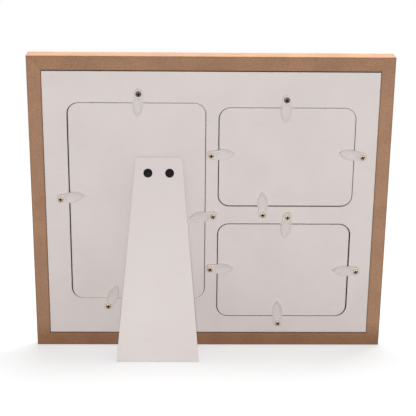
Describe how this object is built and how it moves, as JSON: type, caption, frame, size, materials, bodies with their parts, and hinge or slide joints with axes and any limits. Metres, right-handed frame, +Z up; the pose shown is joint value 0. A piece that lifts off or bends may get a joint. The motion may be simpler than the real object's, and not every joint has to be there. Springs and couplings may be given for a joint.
{
  "type": "picture frame",
  "caption": "Standing picture frame for one upright and two lying prints, with doors held by turn buttons and a hinged easel leg on its back.",
  "frame": {"origin": "on the surface the frame stands on, under the middle of its whole width and depth, the open leg included", "axes": "+X along the frame, to the left as seen from behind; +Y out of the back, towards the leg's foot; +Z up"},
  "size_m": [0.28, 0.0855, 0.2354],
  "materials": {
    "bare_fibreboard": "bare fibreboard",
    "wedge_steel": "plain",
    "pane": "clear",
    "mat_card": "matt",
    "insert_paper": "blank",
    "painted_board": "white paint, satin",
    "button_plastic": "white",
    "screw_brass": "bright",
    "hinge_steel": "zinc plated",
    "rivet_black": "black"
  },
  "bodies": {
    "frame": {"rail_top": "bare_fibreboard", "rail_bottom": "bare_fibreboard", "rail_left": "bare_fibreboard", "rail_right": "bare_fibreboard", "corner_wedges": "wedge_steel", "glass": "pane", "mat": "mat_card", "insert_large": "insert_paper", "insert_upper": "insert_paper", "insert_lower": "insert_paper", "back_panel": "painted_board", "door_large": "painted_board", "door_upper": "painted_board", "door_lower": "painted_board", "screws_large": "screw_brass", "screws_upper": "screw_brass", "screws_lower": "screw_brass", "hinge_plate": "hinge_steel", "hinge_pin": "hinge_steel", "plate_rivets": "rivet_black"},
    "leg": {"leg": "painted_board", "hinge_strap": "hinge_steel", "leg_rivets": "rivet_black"},
    "button_large_top": {"button_large_top": "button_plastic"},
    "button_large_left": {"button_large_left": "button_plastic"},
    "button_large_right": {"button_large_right": "button_plastic"},
    "button_large_bottom": {"button_large_bottom": "button_plastic"},
    "button_upper_top": {"button_upper_top": "button_plastic"},
    "button_upper_left": {"button_upper_left": "button_plastic"},
    "button_upper_right": {"button_upper_right": "button_plastic"},
    "button_upper_bottom": {"button_upper_bottom": "button_plastic"},
    "button_lower_top": {"button_lower_top": "button_plastic"},
    "button_lower_left": {"button_lower_left": "button_plastic"},
    "button_lower_right": {"button_lower_right": "button_plastic"},
    "button_lower_bottom": {"button_lower_bottom": "button_plastic"}
  },
  "joints": [
    {"name": "leg_fold", "type": "hinge", "parent": "frame", "child": "leg", "pos_m": [0.04, 0.01291, 0.14765], "axis": [1, 0, 0], "range_deg": [-25, 0]},
    {"name": "large_top_turn", "type": "hinge", "parent": "frame", "child": "button_large_top", "pos_m": [0.05541, 0.02664, 0.20379], "axis": [0, 0.9649, -0.2627], "range_deg": [-90, 90]},
    {"name": "large_left_turn", "type": "hinge", "parent": "frame", "child": "button_large_left", "pos_m": [0.117, 0.00437, 0.122], "axis": [0, 0.9649, -0.2627], "range_deg": [-90, 90]},
    {"name": "large_right_turn", "type": "hinge", "parent": "frame", "child": "button_large_right", "pos_m": [-0.00241, 0.00073, 0.10864], "axis": [0, 0.9649, -0.2627], "range_deg": [-90, 90]},
    {"name": "large_bottom_turn", "type": "hinge", "parent": "frame", "child": "button_large_bottom", "pos_m": [0.08139, -0.0196, 0.03399], "axis": [0, 0.9649, -0.2627], "range_deg": [-90, 90]},
    {"name": "upper_top_turn", "type": "hinge", "parent": "frame", "child": "button_upper_top", "pos_m": [-0.05795, 0.02553, 0.1997], "axis": [0, 0.9649, -0.2627], "range_deg": [-90, 90]},
    {"name": "upper_left_turn", "type": "hinge", "parent": "frame", "child": "button_upper_left", "pos_m": [-0.00052, 0.01386, 0.15685], "axis": [0, 0.9649, -0.2627], "range_deg": [-90, 90]},
    {"name": "upper_right_turn", "type": "hinge", "parent": "frame", "child": "button_upper_right", "pos_m": [-0.1182, 0.01359, 0.15586], "axis": [0, 0.9649, -0.2627], "range_deg": [-90, 90]},
    {"name": "upper_bottom_turn", "type": "hinge", "parent": "frame", "child": "button_upper_bottom", "pos_m": [-0.04164, 0.00109, 0.10997], "axis": [0, 0.9649, -0.2627], "range_deg": [-65, 90]},
    {"name": "lower_top_turn", "type": "hinge", "parent": "frame", "child": "button_lower_top", "pos_m": [-0.06141, 0.00058, 0.10809], "axis": [0, 0.9649, -0.2627], "range_deg": [-65, 90]},
    {"name": "lower_left_turn", "type": "hinge", "parent": "frame", "child": "button_lower_left", "pos_m": [-0.00051, -0.0111, 0.0652], "axis": [0, 0.9649, -0.2627], "range_deg": [-90, 90]},
    {"name": "lower_right_turn", "type": "hinge", "parent": "frame", "child": "button_lower_right", "pos_m": [-0.11772, -0.01155, 0.06352], "axis": [0, 0.9649, -0.2627], "range_deg": [-90, 90]},
    {"name": "lower_bottom_turn", "type": "hinge", "parent": "frame", "child": "button_lower_bottom", "pos_m": [-0.05618, -0.02348, 0.01971], "axis": [0, 0.9649, -0.2627], "range_deg": [-90, 90]}
  ]
}
